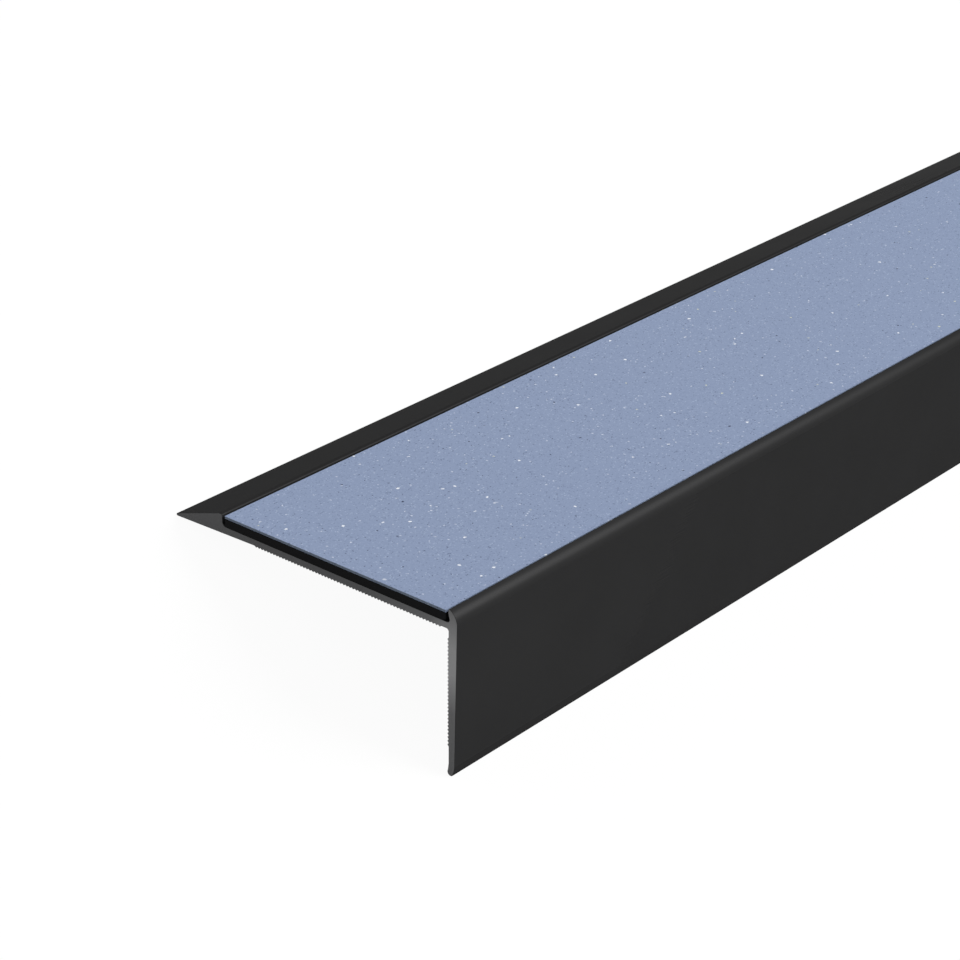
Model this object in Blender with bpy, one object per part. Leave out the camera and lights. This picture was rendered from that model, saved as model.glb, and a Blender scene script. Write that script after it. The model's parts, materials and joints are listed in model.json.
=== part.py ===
"""Stair nosing: a black aluminium extrusion with a ramped back edge and a bonded anti-slip insert.

The section is drawn as the nosing is fixed to a step. Its first coordinate runs back over the tread
from the face of the riser, and its second runs up from the top of the tread, so the edge of the
step is at (0, 0). The whole nosing is then turned to the attitude in which it lies on a level
floor: on the foot of its riser leg and the tip of its ramp.
"""

import math

import bmesh
import bpy

# Driving dimensions, in metres

LENGTH = 1.0

INSERT_WIDTH = 0.0500
FACING_THICKNESS = 0.0005
BACKING_THICKNESS = 0.0014
BACKING_CHAMFER = 0.00035
BOND_LINE = 0.0001  # film of adhesive under each layer of the insert
FRONT_GAP = 0.0008  # between the insert and the front wall of its recess
REAR_GAP = 0.0006

WEB_THICKNESS = 0.00118  # between the roots of the keys and the floor of the recess
FRONT_FILLET = 0.0006
REAR_FILLET = 0.0008

KEY_PITCH = 0.0007  # saw-tooth glue keys under the tread plate and behind the leg
KEY_DEPTH = 0.00025
FIRST_TREAD_KEY = 0.00165
FIRST_RISER_KEY = 0.0013
CORNER_FILLET = 0.0005

NOSE_RADIUS = 0.00287
NOSE_SWEEP = math.radians(65)  # from the front of the nose to the tip of its fin
FIN_RISE = 0.00039  # of the fin's tip over the insert
FIN_THICKNESS = 0.00158
FIN_LEAN = 0.0003  # of the fin's back over the recess
FIN_BEVEL = 0.00014

LEG_THICKNESS = 0.00207
LEG_FOOT_THICKNESS = 0.00153
LEG_DROP = 0.02704
FOOT_RADIUS = 0.00065
FOOT_TAPER = 0.0015
FOOT_SMOOTH_HEIGHT = 0.0052  # without keys, above the bottom of the foot

CREST_RISE = 0.0001  # of the back edge of the recess over the insert
CREST_WIDTH = 0.00084
CREST_BEVEL = 0.00015
RAMP_WIDTH = 0.01145  # from the recess to the tip
TIP_RADIUS = 0.00024
TIP_DROP = 0.00032  # of the tip below the top of the tread
HEEL_WIDTH = 0.0188  # smooth strip under the ramp

ARC_STEPS = 14
FILLET_STEPS = 5

# Sizes that follow from them

RECESS_FLOOR = KEY_DEPTH + WEB_THICKNESS
BACKING_BOTTOM = RECESS_FLOOR + BOND_LINE
BACKING_TOP = BACKING_BOTTOM + BACKING_THICKNESS
FACING_BOTTOM = BACKING_TOP + BOND_LINE
FACING_TOP = FACING_BOTTOM + FACING_THICKNESS

RECESS_FRONT = FIN_THICKNESS - LEG_THICKNESS
INSERT_FRONT = RECESS_FRONT + FRONT_GAP
INSERT_BACK = INSERT_FRONT + INSERT_WIDTH
RECESS_BACK = INSERT_BACK + REAR_GAP

FIN_TIP_HEIGHT = FACING_TOP + FIN_RISE
CREST_HEIGHT = FACING_TOP + CREST_RISE

FOOT_CENTRE = (-FOOT_RADIUS, FOOT_RADIUS - LEG_DROP)
TIP_CENTRE = (RECESS_BACK + RAMP_WIDTH - TIP_RADIUS, TIP_RADIUS - TIP_DROP)


def arc(centre, radius, start, end, steps):
    """Points on a circular arc, from the start angle to the end angle in degrees."""
    angles = [math.radians(start + (end - start) * step / steps) for step in range(steps + 1)]
    return [(centre[0] + radius * math.cos(a), centre[1] + radius * math.sin(a)) for a in angles]


def foot_outline():
    """The rounded foot of the leg, from the back of the leg down and round to its front."""
    start = math.degrees(math.acos((FOOT_RADIUS - KEY_DEPTH) / FOOT_RADIUS))
    bead = arc(FOOT_CENTRE, FOOT_RADIUS, start, start - 180, ARC_STEPS)
    return bead + [(-LEG_FOOT_THICKNESS, FOOT_TAPER - LEG_DROP)]


def nose_outline():
    """The round nose, from the top of the leg's front to the tip of the fin and down its back."""
    centre = (NOSE_RADIUS - LEG_THICKNESS, FIN_TIP_HEIGHT - NOSE_RADIUS * math.sin(NOSE_SWEEP))
    round_face = arc(centre, NOSE_RADIUS, 180, 180 - math.degrees(NOSE_SWEEP), ARC_STEPS)
    tip_back, tip_height = round_face[-1]
    fin_back = [
        (tip_back + FIN_BEVEL, tip_height - FIN_BEVEL),
        (RECESS_FRONT + FIN_LEAN, FACING_BOTTOM + BOND_LINE),
    ]
    return round_face + fin_back


def recess_outline():
    """The recess for the insert, from its front wall over its floor to the crest of the ramp."""
    front_centre = (RECESS_FRONT + FRONT_FILLET, RECESS_FLOOR + FRONT_FILLET)
    rear_centre = (RECESS_BACK - REAR_FILLET, RECESS_FLOOR + REAR_FILLET)
    front = arc(front_centre, FRONT_FILLET, 180, 270, FILLET_STEPS)
    rear = arc(rear_centre, REAR_FILLET, 270, 360, FILLET_STEPS)
    crest = [
        (RECESS_BACK, CREST_HEIGHT - CREST_BEVEL),
        (RECESS_BACK + CREST_BEVEL, CREST_HEIGHT),
    ]
    return front + rear + crest


def ramp_outline():
    """The ramp behind the insert, from its crest down to the tip and round under it."""
    crest_end = (RECESS_BACK + CREST_WIDTH, CREST_HEIGHT)
    return [crest_end] + arc(TIP_CENTRE, TIP_RADIUS, 80, -90, ARC_STEPS)


def tread_keys_outline():
    """The keys under the tread plate, from the smooth heel forward to the inside corner."""
    heel_front = TIP_CENTRE[0] - HEEL_WIDTH
    count = int((heel_front - FIRST_TREAD_KEY) / KEY_PITCH + 0.5)
    points = [(FIRST_TREAD_KEY + (count - 0.5) * KEY_PITCH, KEY_DEPTH)]
    for key in reversed(range(count)):
        key_tip = FIRST_TREAD_KEY + key * KEY_PITCH
        points += [(key_tip, 0.0), (key_tip - KEY_PITCH / 2, KEY_DEPTH)]
    return points


def riser_keys_outline():
    """The inside corner, and the keys on the back of the leg down to its smooth strip."""
    corner_centre = (CORNER_FILLET - KEY_DEPTH, KEY_DEPTH - CORNER_FILLET)
    points = arc(corner_centre, CORNER_FILLET, 90, 180, FILLET_STEPS)
    points.append((-KEY_DEPTH, -FIRST_RISER_KEY))
    count = int((LEG_DROP - FOOT_SMOOTH_HEIGHT - FIRST_RISER_KEY) / KEY_PITCH)
    for key in range(count):
        key_top = -FIRST_RISER_KEY - key * KEY_PITCH
        points += [(0.0, key_top - KEY_PITCH / 2), (-KEY_DEPTH, key_top - KEY_PITCH)]
    return points


def profile_outline():
    """The whole closed section of the extrusion."""
    front = foot_outline() + nose_outline()
    top = recess_outline() + ramp_outline()
    back = tread_keys_outline() + riser_keys_outline()
    return front + top + back


def backing_outline():
    """The backing strip, a flat bar with its two lower edges taken off."""
    return [
        (INSERT_FRONT + BACKING_CHAMFER, BACKING_BOTTOM),
        (INSERT_FRONT, BACKING_BOTTOM + BACKING_CHAMFER),
        (INSERT_FRONT, BACKING_TOP),
        (INSERT_BACK, BACKING_TOP),
        (INSERT_BACK, BACKING_BOTTOM + BACKING_CHAMFER),
        (INSERT_BACK - BACKING_CHAMFER, BACKING_BOTTOM),
    ]


def facing_outline():
    """The wear layer on top of the backing, a flat sheet."""
    return [
        (INSERT_FRONT, FACING_BOTTOM),
        (INSERT_FRONT, FACING_TOP),
        (INSERT_BACK, FACING_TOP),
        (INSERT_BACK, FACING_BOTTOM),
    ]


def material(name, colour, roughness, metallic):
    """A plain finish."""
    finish = bpy.data.materials.new(name)
    finish.use_nodes = True
    shader = finish.node_tree.nodes["Principled BSDF"]
    shader.inputs["Base Color"].default_value = (*colour, 1.0)
    shader.inputs["Roughness"].default_value = roughness
    shader.inputs["Metallic"].default_value = metallic
    return finish


def extrusion(name, outline, finish, parent):
    """One piece: its section drawn at one end and drawn out along X to the full length."""
    shape = bmesh.new()
    corners = [shape.verts.new((-LENGTH / 2, across, up)) for across, up in outline]
    section = shape.faces.new(corners)
    drawn = bmesh.ops.extrude_face_region(shape, geom=[section])
    moved = [item for item in drawn["geom"] if isinstance(item, bmesh.types.BMVert)]
    bmesh.ops.translate(shape, vec=(LENGTH, 0.0, 0.0), verts=moved)
    bmesh.ops.recalc_face_normals(shape, faces=shape.faces)
    mesh = bpy.data.meshes.new(name)
    shape.to_mesh(mesh)
    shape.free()
    mesh.shade_smooth()
    mesh.set_sharp_from_angle(angle=math.radians(25))
    mesh.materials.append(finish)
    piece = bpy.data.objects.new(name, mesh)
    piece.parent = parent
    bpy.context.collection.objects.link(piece)
    return piece


def resting_attitude():
    """The turn about X, and the shift, that lay the nosing on the foot of its leg and its tip."""
    across = TIP_CENTRE[0] - FOOT_CENTRE[0]
    rise = TIP_CENTRE[1] - FOOT_CENTRE[1]
    span = math.hypot(across, rise)
    tilt = math.atan2(rise, across) + math.asin((FOOT_RADIUS - TIP_RADIUS) / span)
    turned = [
        (u * math.cos(tilt) + v * math.sin(tilt), v * math.cos(tilt) - u * math.sin(tilt))
        for u, v in profile_outline()
    ]
    middle = (min(y for y, z in turned) + max(y for y, z in turned)) / 2
    lowest = min(z for y, z in turned)
    return tilt, (0.0, -middle, -lowest)


for old in list(bpy.data.objects):
    bpy.data.objects.remove(old, do_unlink=True)

tilt, shift = resting_attitude()
step_edge = bpy.data.objects.new("step_edge", None)
step_edge.location = shift
step_edge.rotation_euler = (-tilt, 0.0, 0.0)
bpy.context.collection.objects.link(step_edge)

black_coating = material("black_coating", (0.030, 0.030, 0.031), 0.45, 0.2)
black_backing = material("black_backing", (0.012, 0.012, 0.013), 0.8, 0.0)
blue_facing = material("blue_facing", (0.26, 0.32, 0.48), 0.6, 0.0)

extrusion("nosing_profile", profile_outline(), black_coating, step_edge)
extrusion("insert_backing", backing_outline(), black_backing, step_edge)
extrusion("insert_facing", facing_outline(), blue_facing, step_edge)
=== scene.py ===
import json
import math

import bmesh
import bpy
from mathutils import Matrix, Vector


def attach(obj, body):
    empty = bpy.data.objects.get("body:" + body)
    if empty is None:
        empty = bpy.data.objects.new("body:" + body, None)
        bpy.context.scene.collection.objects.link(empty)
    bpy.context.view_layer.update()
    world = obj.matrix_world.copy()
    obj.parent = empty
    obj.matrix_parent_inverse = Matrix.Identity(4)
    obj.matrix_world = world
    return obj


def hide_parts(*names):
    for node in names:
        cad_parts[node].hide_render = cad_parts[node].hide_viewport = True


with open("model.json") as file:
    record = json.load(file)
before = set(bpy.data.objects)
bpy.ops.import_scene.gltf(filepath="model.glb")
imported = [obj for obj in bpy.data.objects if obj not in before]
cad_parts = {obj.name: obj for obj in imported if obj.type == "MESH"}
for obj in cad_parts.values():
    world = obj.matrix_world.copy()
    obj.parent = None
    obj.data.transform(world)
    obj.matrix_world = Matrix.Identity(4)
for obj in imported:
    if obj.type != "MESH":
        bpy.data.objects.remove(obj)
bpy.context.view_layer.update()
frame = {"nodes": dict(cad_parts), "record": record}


# Aluminium profile
# The body of the nosing is one length of extruded aluminium. It is coated black and then sawn
# square, so its two ends show bare grey metal. Its leg hangs over the edge of the step and its
# plate lies on the tread, and the saw-tooth keys on the inside of both hold the adhesive.

LEG_THICKNESS = 0.00207
LEG_FOOT_THICKNESS = 0.00153
LEG_DROP = 0.02704
FOOT_RADIUS = 0.00065
FOOT_TAPER = 0.0015
FOOT_BLEND_ANGLE = 30.0
FOOT_BLEND_HEIGHT = 0.0023
FOOT_SMOOTH_HEIGHT = 0.0052
FOOT_EASING = 0.0006
FOOT_STEPS = 20
FOOT_EASING_STEPS = 6

NOSE_RADIUS = 0.00287
NOSE_SWEEP = 65.0
NOSE_STEPS = 28
FIN_THICKNESS = 0.00158
FIN_LEAN = 0.0003
FIN_BEVEL = 0.00014
FIN_LEAN_HEIGHT = 0.00313
FIN_EASING = 0.00005
FIN_EASING_STEPS = 3

WEB_THICKNESS = 0.00118
REAR_GAP = 0.0006
FRONT_FILLET = 0.0006
REAR_FILLET = 0.0008
FILLET_STEPS = 8

CREST_RISE = 0.0001
CREST_WIDTH = 0.00084
CREST_BEVEL = 0.00015
CREST_EASING = 0.0003
CREST_EASING_STEPS = 4
TIP_RADIUS = 0.00024
TIP_DROP = 0.00032
TIP_START = 80.0
TIP_SWEEP = 170.0
TIP_STEPS = 16
HEEL_WIDTH = 0.0188

KEY_PITCH = 0.0007
KEY_DEPTH = 0.00025
FIRST_TREAD_KEY = 0.00165
FIRST_RISER_KEY = 0.0013
CORNER_FILLET = 0.0005

END_EASING = 0.00004
SAME_PLACE = 0.000005
SQUARE_END = 0.99
SMOOTH_ANGLE = 28.0
FLAT_FACE_WEIGHT = 100
QUARTER_TURN = 90.0
HALF_TURN = 180.0

riser_seat = next(mount for mount in frame["record"]["mounts"] if mount["name"] == "riser_seat")
tilt = math.atan2(-riser_seat["axis"][2], riser_seat["axis"][1])
stood_up = Matrix.Rotation(tilt, 4, "X")


def corners(node, turn):
    """Lowest and highest corners of a CAD node after a turn."""
    places = [turn @ vertex.co for vertex in frame["nodes"][node].data.vertices]
    low = Vector([min(place[axis] for place in places) for axis in range(3)])
    high = Vector([max(place[axis] for place in places) for axis in range(3)])
    return low, high


# Everything is drawn as it is fixed to a step: the first coordinate along the nosing, the second
# back over the tread from the riser, the third up from the tread. Then it is laid on the floor.
stood_low, stood_high = corners("nosing_profile", stood_up)
step_edge = Vector((0.0, stood_low.y + LEG_THICKNESS, stood_low.z + LEG_DROP))
floor_to_step = Matrix.Translation(-step_edge) @ stood_up
step_to_floor = floor_to_step.inverted()

profile_low, profile_high = corners("nosing_profile", floor_to_step)
insert_low, insert_high = corners("insert_facing", floor_to_step)
left_end = profile_low.x
length = profile_high.x - profile_low.x


def line_to(shape, pen, across, up):
    """Draws a straight line in the section, and returns the pen at its end."""
    end = bmesh.ops.extrude_vert_indiv(shape, verts=[pen])["verts"][0]
    end.co = (pen.co.x, across, up)
    return end


def arc_about(shape, pen, centre, degrees, steps):
    """Draws an arc about a centre in the section, and returns the pen at its end."""
    turned = bmesh.ops.spin(
        shape,
        geom=[pen],
        cent=(pen.co.x, *centre),
        axis=(1.0, 0.0, 0.0),
        angle=math.radians(degrees),
        steps=steps,
    )
    return next(item for item in turned["geom_last"] if isinstance(item, bmesh.types.BMVert))


def keys_to(shape, pen, count, forward, outward):
    """Draws a row of saw-tooth keys in the section, and returns the pen at its end."""
    for key in range(count):
        root = pen.co.yz
        pen = line_to(shape, pen, *(root + forward * KEY_PITCH / 2 + outward * KEY_DEPTH))
        pen = line_to(shape, pen, *(root + forward * KEY_PITCH))
    return pen


def rounded(shape, places, radius, segments):
    """Rounds those corners of the section that lie at the given places."""
    chosen = [
        vertex
        for vertex in shape.verts
        if any((vertex.co.yz - Vector(place)).length < SAME_PLACE for place in places)
    ]
    bmesh.ops.bevel(
        shape,
        geom=chosen,
        offset=radius,
        offset_type="OFFSET",
        segments=segments,
        profile=0.5,
        affect="VERTICES",
        material=-1,
    )


def draw_out(shape):
    """Draws a section out along the nosing to its full length."""
    drawn = bmesh.ops.extrude_face_region(shape, geom=shape.faces[:])
    moved = [item for item in drawn["geom"] if isinstance(item, bmesh.types.BMVert)]
    bmesh.ops.translate(shape, verts=moved, vec=(length, 0.0, 0.0))
    bmesh.ops.recalc_face_normals(shape, faces=shape.faces)


def ease_ends(shape, easing):
    """Takes the burr off both sawn ends."""
    end_edges = [
        edge
        for edge in shape.edges
        if abs(edge.verts[0].co.x - edge.verts[1].co.x) < easing
    ]
    bmesh.ops.bevel(
        shape,
        geom=end_edges,
        offset=easing,
        offset_type="OFFSET",
        segments=1,
        profile=0.5,
        affect="EDGES",
        material=-1,
    )


def finished_piece(name, shape, side_finish, end_finish):
    """Makes the drawn shape a piece on the floor, with its finish and that of its sawn ends."""
    for face in shape.faces:
        face.material_index = 1 if abs(face.normal.x) > SQUARE_END else 0
    mesh = bpy.data.meshes.new(name)
    shape.to_mesh(mesh)
    shape.free()
    mesh.transform(step_to_floor)
    mesh.shade_smooth()
    mesh.set_sharp_from_angle(angle=math.radians(SMOOTH_ANGLE))
    mesh.materials.append(side_finish)
    mesh.materials.append(end_finish)
    piece = bpy.data.objects.new(name, mesh)
    flats = piece.modifiers.new("flat_faces", "WEIGHTED_NORMAL")
    flats.mode = "FACE_AREA"
    flats.weight = FLAT_FACE_WEIGHT
    flats.keep_sharp = True
    bpy.context.collection.objects.link(piece)
    return piece


def profile_shape():
    """The extrusion: its section drawn clockwise from the back of the foot, then drawn out."""
    shape = bmesh.new()
    foot_centre = (-FOOT_RADIUS, FOOT_RADIUS - LEG_DROP)
    nose_centre_height = profile_high.z - NOSE_RADIUS * math.sin(math.radians(NOSE_SWEEP))
    nose_centre = (NOSE_RADIUS - LEG_THICKNESS, nose_centre_height)
    tip_centre = (profile_high.y - TIP_RADIUS, TIP_RADIUS - TIP_DROP)

    first = shape.verts.new((left_end, -KEY_DEPTH, FOOT_BLEND_HEIGHT - LEG_DROP))
    bead_start = math.radians(FOOT_BLEND_ANGLE)
    bead_top = foot_centre[1] + FOOT_RADIUS * math.sin(bead_start)
    pen = line_to(shape, first, foot_centre[0] + FOOT_RADIUS * math.cos(bead_start), bead_top)
    # The bead ends half a turn round from where the smooth strip would meet it.
    strip_angle = math.degrees(math.acos((FOOT_RADIUS - KEY_DEPTH) / FOOT_RADIUS))
    bead_sweep = FOOT_BLEND_ANGLE - strip_angle + HALF_TURN
    pen = arc_about(shape, pen, foot_centre, -bead_sweep, FOOT_STEPS)
    taper_top = (-LEG_FOOT_THICKNESS, FOOT_TAPER - LEG_DROP)
    pen = line_to(shape, pen, *taper_top)

    pen = line_to(shape, pen, -LEG_THICKNESS, nose_centre_height)
    pen = arc_about(shape, pen, nose_centre, -NOSE_SWEEP, NOSE_STEPS)
    fin_tip = (pen.co.y, pen.co.z)
    fin_back = (pen.co.y + FIN_BEVEL, pen.co.z - FIN_BEVEL)
    pen = line_to(shape, pen, *fin_back)

    recess_floor = KEY_DEPTH + WEB_THICKNESS
    recess_front = FIN_THICKNESS - LEG_THICKNESS
    recess_back = insert_high.y + REAR_GAP
    pen = line_to(shape, pen, recess_front + FIN_LEAN, FIN_LEAN_HEIGHT)
    front_centre = (recess_front + FRONT_FILLET, recess_floor + FRONT_FILLET)
    pen = line_to(shape, pen, recess_front, front_centre[1])
    pen = arc_about(shape, pen, front_centre, QUARTER_TURN, FILLET_STEPS)
    rear_centre = (recess_back - REAR_FILLET, recess_floor + REAR_FILLET)
    pen = line_to(shape, pen, rear_centre[0], recess_floor)
    pen = arc_about(shape, pen, rear_centre, QUARTER_TURN, FILLET_STEPS)

    crest_height = insert_high.z + CREST_RISE
    crest = (
        (recess_back, crest_height - CREST_BEVEL),
        (recess_back + CREST_BEVEL, crest_height),
        (recess_back + CREST_WIDTH, crest_height),
    )
    for corner in crest:
        pen = line_to(shape, pen, *corner)
    tip_start = math.radians(TIP_START)
    tip_top = tip_centre[1] + TIP_RADIUS * math.sin(tip_start)
    pen = line_to(shape, pen, tip_centre[0] + TIP_RADIUS * math.cos(tip_start), tip_top)
    pen = arc_about(shape, pen, tip_centre, -TIP_SWEEP, TIP_STEPS)

    tread_keys = round((tip_centre[0] - HEEL_WIDTH - FIRST_TREAD_KEY) / KEY_PITCH)
    first_root = FIRST_TREAD_KEY - KEY_PITCH / 2
    pen = line_to(shape, pen, first_root + tread_keys * KEY_PITCH, KEY_DEPTH)
    pen = keys_to(shape, pen, tread_keys, Vector((-1.0, 0.0)), Vector((0.0, -1.0)))

    corner_centre = (CORNER_FILLET - KEY_DEPTH, KEY_DEPTH - CORNER_FILLET)
    pen = line_to(shape, pen, corner_centre[0], KEY_DEPTH)
    pen = arc_about(shape, pen, corner_centre, QUARTER_TURN, FILLET_STEPS)
    riser_keys = int((LEG_DROP - FOOT_SMOOTH_HEIGHT - FIRST_RISER_KEY) / KEY_PITCH)
    pen = line_to(shape, pen, -KEY_DEPTH, -FIRST_RISER_KEY)
    pen = keys_to(shape, pen, riser_keys, Vector((0.0, -1.0)), Vector((1.0, 0.0)))
    shape.edges.new((pen, first))

    bmesh.ops.contextual_create(shape, geom=shape.edges[:])
    rounded(shape, [taper_top], FOOT_EASING, FOOT_EASING_STEPS)
    rounded(shape, [fin_tip, fin_back, *crest[:2]], FIN_EASING, FIN_EASING_STEPS)
    rounded(shape, [crest[2]], CREST_EASING, CREST_EASING_STEPS)
    draw_out(shape)
    ease_ends(shape, END_EASING)
    return shape


def step_coordinates(tree):
    """Metres along the nosing, back over the tread and up from it, for a material's patterns."""
    coordinates = tree.nodes.new("ShaderNodeTexCoord")
    mapping = tree.nodes.new("ShaderNodeMapping")
    mapping.inputs["Location"].default_value = -step_edge
    mapping.inputs["Rotation"].default_value = (tilt, 0.0, 0.0)
    tree.links.new(coordinates.outputs["Object"], mapping.inputs["Vector"])
    return mapping.outputs["Vector"]


def stretched(tree, vector, scale):
    """The coordinates stretched by a factor along each direction."""
    mapping = tree.nodes.new("ShaderNodeMapping")
    mapping.inputs["Scale"].default_value = scale
    tree.links.new(vector, mapping.inputs["Vector"])
    return mapping.outputs["Vector"]


def noise(tree, vector, grains_per_metre, detail, roughness):
    """A cloudy pattern with that many grains in a metre. More detail adds finer grains, and the
    roughness is how strong they are."""
    texture = tree.nodes.new("ShaderNodeTexNoise")
    texture.inputs["Scale"].default_value = grains_per_metre
    texture.inputs["Detail"].default_value = detail
    texture.inputs["Roughness"].default_value = roughness
    tree.links.new(vector, texture.inputs["Vector"])
    return texture.outputs["Fac"]


# Nearly all of a cloudy pattern lies in this range.
NOISE_RANGE = (0.3, 0.7)


def between(tree, pattern, low, high, low_value, high_value):
    """Turns the range of a pattern into a range of values."""
    ranged = tree.nodes.new("ShaderNodeMapRange")
    ranged.inputs["From Min"].default_value = low
    ranged.inputs["From Max"].default_value = high
    ranged.inputs["To Min"].default_value = low_value
    ranged.inputs["To Max"].default_value = high_value
    tree.links.new(pattern, ranged.inputs["Value"])
    return ranged.outputs["Result"]


def blended(tree, share, below, above):
    """A colour that goes from one to another as the share goes from 0 to 1."""
    mix = tree.nodes.new("ShaderNodeMix")
    mix.data_type = "RGBA"
    tree.links.new(share, mix.inputs["Factor"])
    for socket, colour in (("A", below), ("B", above)):
        colour_socket = next(s for s in mix.inputs if s.name == socket and s.type == "RGBA")
        if isinstance(colour, bpy.types.NodeSocket):
            tree.links.new(colour, colour_socket)
        else:
            colour_socket.default_value = (*colour, 1.0)
    return next(s for s in mix.outputs if s.type == "RGBA")


def bumped(tree, shader, height, depth, strength):
    """Gives the surface relief of that depth in metres."""
    bump = tree.nodes.new("ShaderNodeBump")
    bump.inputs["Strength"].default_value = strength
    bump.inputs["Distance"].default_value = depth
    tree.links.new(height, bump.inputs["Height"])
    tree.links.new(bump.outputs["Normal"], shader.inputs["Normal"])


def new_finish(name, specular):
    """A material with its node tree, its shader and its coordinates on the step."""
    finish = bpy.data.materials.new(name)
    finish.use_nodes = True
    tree = finish.node_tree
    shader = tree.nodes["Principled BSDF"]
    shader.inputs["Specular IOR Level"].default_value = specular
    return finish, tree, shader, step_coordinates(tree)


# The coating is nearly even. The die leaves faint lines along it.
COATING_DARK = (0.0247, 0.0247, 0.0251)
COATING_LIGHT = (0.0287, 0.0287, 0.0291)
COATING_CLOUDS = 60.0
COATING_ROUGHNESS = (0.35, 0.41)
COATING_SPECULAR = 0.0011
COATING_METALLIC = 0.22
COATING_TINT = (0.08, 0.08, 0.08, 1.0)
DIE_LINES = 3000.0
DIE_LINE_STRETCH = (0.004, 1.0, 1.0)
DIE_LINE_DEPTH = 0.000006


def black_coating():
    """Satin black coating, with the lines that the die leaves along it."""
    finish, tree, shader, place = new_finish("black_coating", COATING_SPECULAR)
    clouds = noise(tree, place, COATING_CLOUDS, detail=3.0, roughness=0.55)
    colour = blended(tree, clouds, COATING_DARK, COATING_LIGHT)
    tree.links.new(colour, shader.inputs["Base Color"])
    shader.inputs["Metallic"].default_value = COATING_METALLIC
    shader.inputs["Specular Tint"].default_value = COATING_TINT
    tree.links.new(between(tree, clouds, *NOISE_RANGE, *COATING_ROUGHNESS), shader.inputs["Roughness"])
    along = stretched(tree, place, DIE_LINE_STRETCH)
    die_lines = noise(tree, along, DIE_LINES, detail=2.0, roughness=0.5)
    bumped(tree, shader, die_lines, DIE_LINE_DEPTH, strength=0.3)
    return finish


# The sawn ends are bare metal. A painted highlight in their colour is brightest a little below the
# nose and fades to darker metal away from there. The distance counts as longer over the tread than
# down the leg, and not at all along the nosing.
PAINTED_HIGHLIGHT_PLACE = Vector((0.0, -0.001, -0.0055))
DISTANCE_WEIGHTS = Vector((0.0, 1.6, 1.0))
PAINTED_HIGHLIGHT_METAL = (0.238, 0.238, 0.241)
METAL_AROUND_PAINTED_HIGHLIGHT = (0.104, 0.104, 0.106)
METAL_FAR_FROM_PAINTED_HIGHLIGHT = (0.066, 0.066, 0.068)
PAINTED_HIGHLIGHT_FADE = (0.0025, 0.0096)
PAINTED_HIGHLIGHT_OUTER_FADE = (0.010, 0.032)
METAL_ROUGHNESS = (0.5, 0.6)
METAL_SPECULAR = 0.2
METAL_METALLIC = 0.2
SAW_MARKS = 6000.0
SAW_MARK_STRETCH = (1.0, 0.2, 1.0)
SAW_MARK_DEPTH = 0.000008


def sawn_metal_and_painted_highlight():
    """Bare aluminium left by the saw: grey with fine marks, and a painted highlight in its colour
    below the nose.
    """
    finish, tree, shader, place = new_finish("sawn_aluminium_and_painted_highlight", METAL_SPECULAR)
    distance = tree.nodes.new("ShaderNodeVectorMath")
    distance.operation = "DISTANCE"
    distance.inputs[1].default_value = DISTANCE_WEIGHTS * PAINTED_HIGHLIGHT_PLACE
    tree.links.new(stretched(tree, place, DISTANCE_WEIGHTS), distance.inputs[0])
    away = distance.outputs["Value"]
    # Painted highlight: the base colour is lightest at the bright place below the nose and darker away
    # from it.
    highlight_faded = between(tree, away, *PAINTED_HIGHLIGHT_FADE, 0.0, 1.0)
    highlight_faded_more = between(tree, away, *PAINTED_HIGHLIGHT_OUTER_FADE, 0.0, 1.0)
    faded_tone = blended(tree, highlight_faded_more, METAL_AROUND_PAINTED_HIGHLIGHT, METAL_FAR_FROM_PAINTED_HIGHLIGHT)
    tree.links.new(blended(tree, highlight_faded, PAINTED_HIGHLIGHT_METAL, faded_tone), shader.inputs["Base Color"])
    shader.inputs["Metallic"].default_value = METAL_METALLIC
    across = stretched(tree, place, SAW_MARK_STRETCH)
    marks = noise(tree, across, SAW_MARKS, detail=2.0, roughness=0.6)
    tree.links.new(between(tree, marks, *NOISE_RANGE, *METAL_ROUGHNESS), shader.inputs["Roughness"])
    bumped(tree, shader, marks, SAW_MARK_DEPTH, strength=0.4)
    return finish


profile = finished_piece("profile", profile_shape(), black_coating(), sawn_metal_and_painted_highlight())
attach(profile, "root")
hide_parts("nosing_profile")


# Backing of the insert
# A strip of black rubber that fills the lower part of the recess and carries the wear layer. It
# is bonded to the recess floor, and its two lower edges are taken off to clear the fillets.

BACKING_CHAMFER = 0.00035
CHAMFER_STEPS = 1

backing_low, backing_high = corners("insert_backing", floor_to_step)


def bar_section(shape, low, high):
    """The rectangular section of a strip, as one face at the left end."""
    first = shape.verts.new((left_end, low.y, low.z))
    pen = line_to(shape, first, low.y, high.z)
    pen = line_to(shape, pen, high.y, high.z)
    pen = line_to(shape, pen, high.y, low.z)
    shape.edges.new((pen, first))
    bmesh.ops.contextual_create(shape, geom=shape.edges[:])


def backing_shape():
    """The backing: a flat bar with its lower edges chamfered."""
    shape = bmesh.new()
    bar_section(shape, backing_low, backing_high)
    lower = [(backing_low.y, backing_low.z), (backing_high.y, backing_low.z)]
    rounded(shape, lower, BACKING_CHAMFER, CHAMFER_STEPS)
    draw_out(shape)
    ease_ends(shape, END_EASING)
    return shape


BACKING_DARK = (0.0015, 0.0015, 0.0017)
BACKING_LIGHT = (0.0095, 0.0095, 0.0100)
BACKING_ROUGHNESS = 0.8
BACKING_SPECULAR = 0.05
BACKING_GRAIN = 5000.0
BACKING_GRAIN_DEPTH = 0.00002


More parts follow.
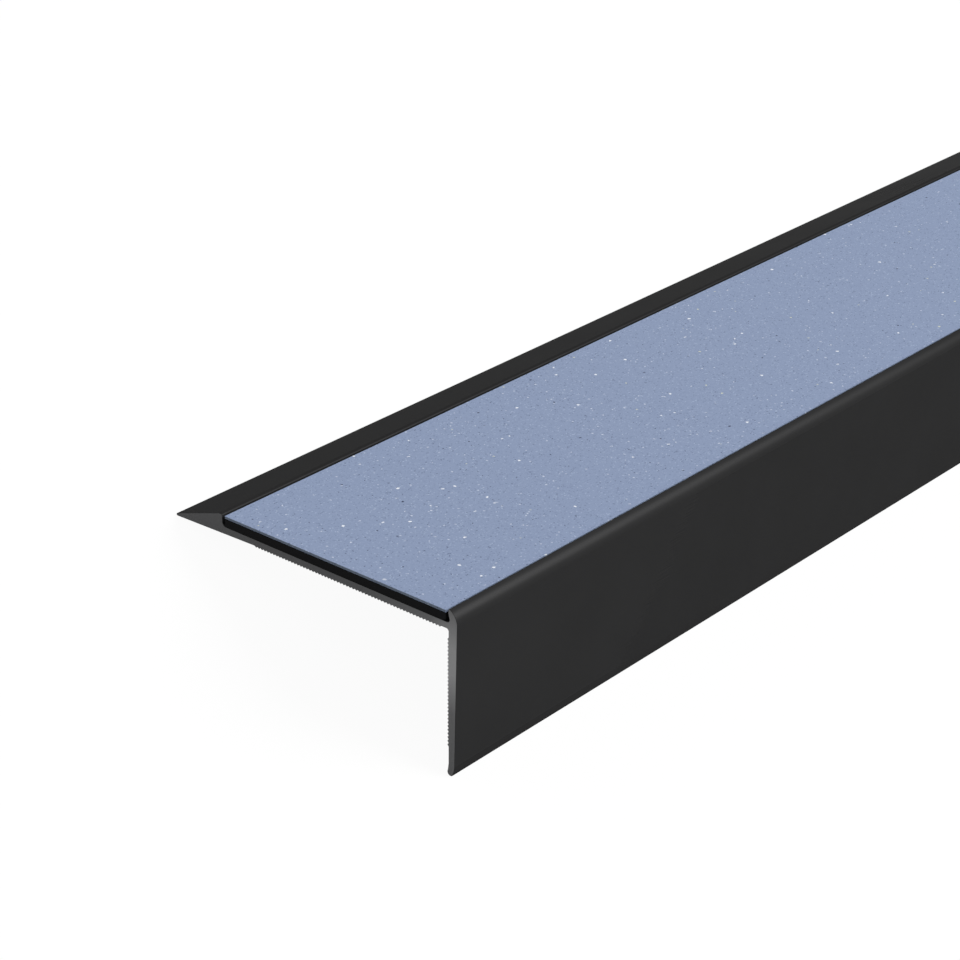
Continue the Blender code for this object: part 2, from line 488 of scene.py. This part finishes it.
def matt_black():
    """Dull black rubber with a fine cut grain."""
    finish, tree, shader, place = new_finish("black_backing", BACKING_SPECULAR)
    grain = noise(tree, place, BACKING_GRAIN, detail=3.0, roughness=0.6)
    tree.links.new(blended(tree, grain, BACKING_DARK, BACKING_LIGHT), shader.inputs["Base Color"])
    shader.inputs["Roughness"].default_value = BACKING_ROUGHNESS
    bumped(tree, shader, grain, BACKING_GRAIN_DEPTH, strength=0.4)
    return finish


backing_finish = matt_black()
backing = finished_piece("backing", backing_shape(), backing_finish, backing_finish)
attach(backing, "root")
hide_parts("insert_backing")


# Wear layer of the insert
# A thin sheet of grey-blue safety vinyl, bonded to the backing. White, pale and dark chips are
# scattered through it, and its ends are cut with the profile.

FACING_EASING = 0.00006
FACING_EASING_STEPS = 2

facing_low, facing_high = corners("insert_facing", floor_to_step)


def facing_shape():
    """The wear layer: a flat sheet with its cut edges a little eased."""
    shape = bmesh.new()
    bar_section(shape, facing_low, facing_high)
    upper = [(facing_low.y, facing_high.z), (facing_high.y, facing_high.z)]
    rounded(shape, upper, FACING_EASING, FACING_EASING_STEPS)
    draw_out(shape)
    ease_ends(shape, END_EASING)
    return shape


def chips(tree, place, size, share, faint, seed):
    """Where the chips of one size lie: a share of the cells of a cell pattern. The faint share of
    them shows from hardly at all to fully, and the rest shows fully."""
    cells = tree.nodes.new("ShaderNodeTexVoronoi")
    cells.inputs["Scale"].default_value = 1.0 / size
    offset = tree.nodes.new("ShaderNodeVectorMath")
    offset.operation = "ADD"
    offset.inputs[1].default_value = (seed, 2.0 * seed, 3.0 * seed)
    tree.links.new(place, offset.inputs[0])
    tree.links.new(offset.outputs["Vector"], cells.inputs["Vector"])
    picked = tree.nodes.new("ShaderNodeSeparateColor")
    tree.links.new(cells.outputs["Color"], picked.inputs["Color"])
    return between(tree, picked.outputs["Red"], 1.0 - share, 1.0 - share * (1.0 - faint), 0.0, 1.0)


# Each family of chips: their size in metres, the share of the places that hold one, the share
# of those that are faint, a seed that moves the pattern, and the colour.
CHIP_FAMILIES = (
    {"size": 0.00022, "share": 0.060, "faint": 0.8, "seed": 0.71, "colour": (0.36, 0.43, 0.58)},
    {"size": 0.00022, "share": 0.060, "faint": 0.8, "seed": 0.61, "colour": (0.17, 0.215, 0.33)},
    {"size": 0.00020, "share": 0.008, "faint": 0.5, "seed": 0.41, "colour": (0.07, 0.09, 0.15)},
    {"size": 0.00034, "share": 0.0009, "faint": 0.3, "seed": 0.53, "colour": (0.03, 0.04, 0.08)},
    {"size": 0.00028, "share": 0.006, "faint": 0.7, "seed": 0.23, "colour": (0.56, 0.61, 0.72)},
    {"size": 0.00045, "share": 0.0018, "faint": 0.5, "seed": 0.11, "colour": (0.80, 0.83, 0.88)},
    {"size": 0.00034, "share": 0.0004, "faint": 0.2, "seed": 0.37, "colour": (0.62, 0.64, 0.50)},
)

VINYL_BODY = (0.266, 0.327, 0.472)
VINYL_DARK_BODY = (0.235, 0.292, 0.430)
CUT_BODY = (0.125, 0.152, 0.198)
CUT_DARK_BODY = (0.095, 0.116, 0.152)
VINYL_CHIP_TONE = 1.0
CUT_CHIP_TONE = 0.42
VINYL_ROUGHNESS = (0.55, 0.68)
VINYL_SPECULAR = 0.05
VINYL_MOTTLE = 2800.0
VINYL_MOTTLE_RANGE = (0.35, 0.65)
VINYL_MOTTLE_DEPTH = 0.00002


def flecked_vinyl(name, body, dark_body, chip_tone):
    """Safety vinyl: an uneven grey-blue body with chips of several sizes and colours. The tone
    makes the chips darker where the sheet is cut."""
    finish, tree, shader, place = new_finish(name, VINYL_SPECULAR)
    mottle = noise(tree, place, VINYL_MOTTLE, detail=2.0, roughness=0.7)
    colour = blended(tree, between(tree, mottle, *VINYL_MOTTLE_RANGE, 0.0, 1.0), dark_body, body)
    for family in CHIP_FAMILIES:
        shown = chips(tree, place, family["size"], family["share"], family["faint"], family["seed"])
        chip_colour = [channel * chip_tone for channel in family["colour"]]
        colour = blended(tree, shown, colour, chip_colour)
    tree.links.new(colour, shader.inputs["Base Color"])
    tree.links.new(between(tree, mottle, *NOISE_RANGE, *VINYL_ROUGHNESS), shader.inputs["Roughness"])
    bumped(tree, shader, mottle, VINYL_MOTTLE_DEPTH, strength=0.35)
    return finish


facing_finish = flecked_vinyl("blue_vinyl", VINYL_BODY, VINYL_DARK_BODY, VINYL_CHIP_TONE)
cut_finish = flecked_vinyl("blue_vinyl_cut", CUT_BODY, CUT_DARK_BODY, CUT_CHIP_TONE)
facing = finished_piece("facing", facing_shape(), facing_finish, cut_finish)
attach(facing, "root")
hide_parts("insert_facing")


# Floor
# A plain white floor under the nosing. The camera and polished surfaces see it almost white by
# itself, and the rest of its light comes from the lamps, so that the shadow still shows.

FLOOR_SIZE = 30.0
FLOOR_GLOW = 0.95
FLOOR_SEEN = (0.05, 0.05, 0.05, 1.0)
FLOOR_COLOUR = (0.80, 0.80, 0.80, 1.0)

floor_shape = bmesh.new()
bmesh.ops.create_grid(floor_shape, x_segments=1, y_segments=1, size=FLOOR_SIZE / 2)
floor_mesh = bpy.data.meshes.new("floor")
floor_shape.to_mesh(floor_mesh)
floor_shape.free()
floor = bpy.data.objects.new("floor", floor_mesh)
bpy.context.collection.objects.link(floor)


def seen_itself(tree):
    """1 for a ray from the camera, off a polished surface or through glass, and 0 for the rest."""
    path = tree.nodes.new("ShaderNodeLightPath")
    seen = path.outputs["Is Camera Ray"]
    for kind in ("Is Glossy Ray", "Is Transmission Ray"):
        either = tree.nodes.new("ShaderNodeMath")
        either.operation = "MAXIMUM"
        tree.links.new(seen, either.inputs[0])
        tree.links.new(path.outputs[kind], either.inputs[1])
        seen = either.outputs["Value"]
    return seen


floor_finish = bpy.data.materials.new("white_floor")
floor_finish.use_nodes = True
floor_tree = floor_finish.node_tree
floor_tree.nodes.remove(floor_tree.nodes["Principled BSDF"])
plain = floor_tree.nodes.new("ShaderNodeBsdfDiffuse")
plain.inputs["Color"].default_value = FLOOR_COLOUR
shaded = floor_tree.nodes.new("ShaderNodeBsdfDiffuse")
shaded.inputs["Color"].default_value = FLOOR_SEEN
glow = floor_tree.nodes.new("ShaderNodeEmission")
glow.inputs["Strength"].default_value = FLOOR_GLOW
white = floor_tree.nodes.new("ShaderNodeAddShader")
floor_tree.links.new(shaded.outputs["BSDF"], white.inputs[0])
floor_tree.links.new(glow.outputs["Emission"], white.inputs[1])
choice = floor_tree.nodes.new("ShaderNodeMixShader")
floor_tree.links.new(seen_itself(floor_tree), choice.inputs["Fac"])
floor_tree.links.new(plain.outputs["BSDF"], choice.inputs[1])
floor_tree.links.new(white.outputs["Shader"], choice.inputs[2])
floor_tree.links.new(choice.outputs["Shader"], floor_tree.nodes["Material Output"].inputs["Surface"])
floor_mesh.materials.append(floor_finish)


# Light
# Soft even light from all round. One large soft lamp to the right draws the highlight along the
# nose, and a weaker one lights the tread side from behind.

WHITE = (1.0, 1.0, 1.0, 1.0)
WORLD_LEVEL = 0.35
WORLD_SEEN = 1.0
NOSE_LAMP_DIRECTION = Vector((0.55, -0.677, 0.493))
NOSE_LAMP_DISTANCE = 2.5
NOSE_LAMP_SIZE = 1.5
NOSE_LAMP_POWER = 67.0
REAR_LAMP_DIRECTION = Vector((-0.45, 0.62, 0.64))
REAR_LAMP_DISTANCE = 1.1
REAR_LAMP_SIZE = 0.9
REAR_LAMP_POWER = 3.4

world = bpy.data.worlds.new("studio")
world.use_nodes = True
world_tree = world.node_tree
sky = world_tree.nodes["Background"]
sky.inputs["Color"].default_value = WHITE
world_level = between(world_tree, seen_itself(world_tree), 0.0, 1.0, WORLD_LEVEL, WORLD_SEEN)
world_tree.links.new(world_level, sky.inputs["Strength"])
bpy.context.scene.world = world


def soft_lamp(name, step_direction, distance, size, power):
    """A round lamp that shines on the near end, from a direction given on the step."""
    near_end = step_to_floor @ Vector((left_end, 0.0, 0.0))
    direction = step_to_floor.to_3x3() @ step_direction.normalized()
    lamp_data = bpy.data.lights.new(name, "AREA")
    lamp_data.shape = "DISK"
    lamp_data.size = size
    lamp_data.energy = power
    lamp = bpy.data.objects.new(name, lamp_data)
    lamp.location = near_end + direction * distance
    lamp.rotation_euler = direction.to_track_quat("Z", "Y").to_euler()
    lamp.visible_camera = False
    bpy.context.collection.objects.link(lamp)


soft_lamp("nose_lamp", NOSE_LAMP_DIRECTION, NOSE_LAMP_DISTANCE, NOSE_LAMP_SIZE, NOSE_LAMP_POWER)
soft_lamp("rear_lamp", REAR_LAMP_DIRECTION, REAR_LAMP_DISTANCE, REAR_LAMP_SIZE, REAR_LAMP_POWER)


# Camera
# It looks down along the nosing from beyond its sawn left end, as in the photograph.

CAMERA_PLACE = Vector((-0.27232, -0.23977, 0.20336))
CAMERA_TURN = math.radians(40.564)
CAMERA_DIP = math.radians(25.981)
CAMERA_ROLL = math.radians(0.341)
CAMERA_LENS = 97.98

camera_data = bpy.data.cameras.new("camera")
camera_data.lens = CAMERA_LENS
camera = bpy.data.objects.new("camera", camera_data)
camera.matrix_world = (
    step_to_floor
    @ Matrix.Translation(CAMERA_PLACE + Vector((left_end, 0.0, 0.0)))
    @ Matrix.Rotation(CAMERA_TURN - math.pi / 2, 4, "Z")
    @ Matrix.Rotation(math.pi / 2 - CAMERA_DIP, 4, "X")
    @ Matrix.Rotation(CAMERA_ROLL, 4, "Z")
)
bpy.context.collection.objects.link(camera)
bpy.context.scene.camera = camera

bpy.context.scene.view_settings.view_transform = "Standard"

bpy.context.view_layer.update()
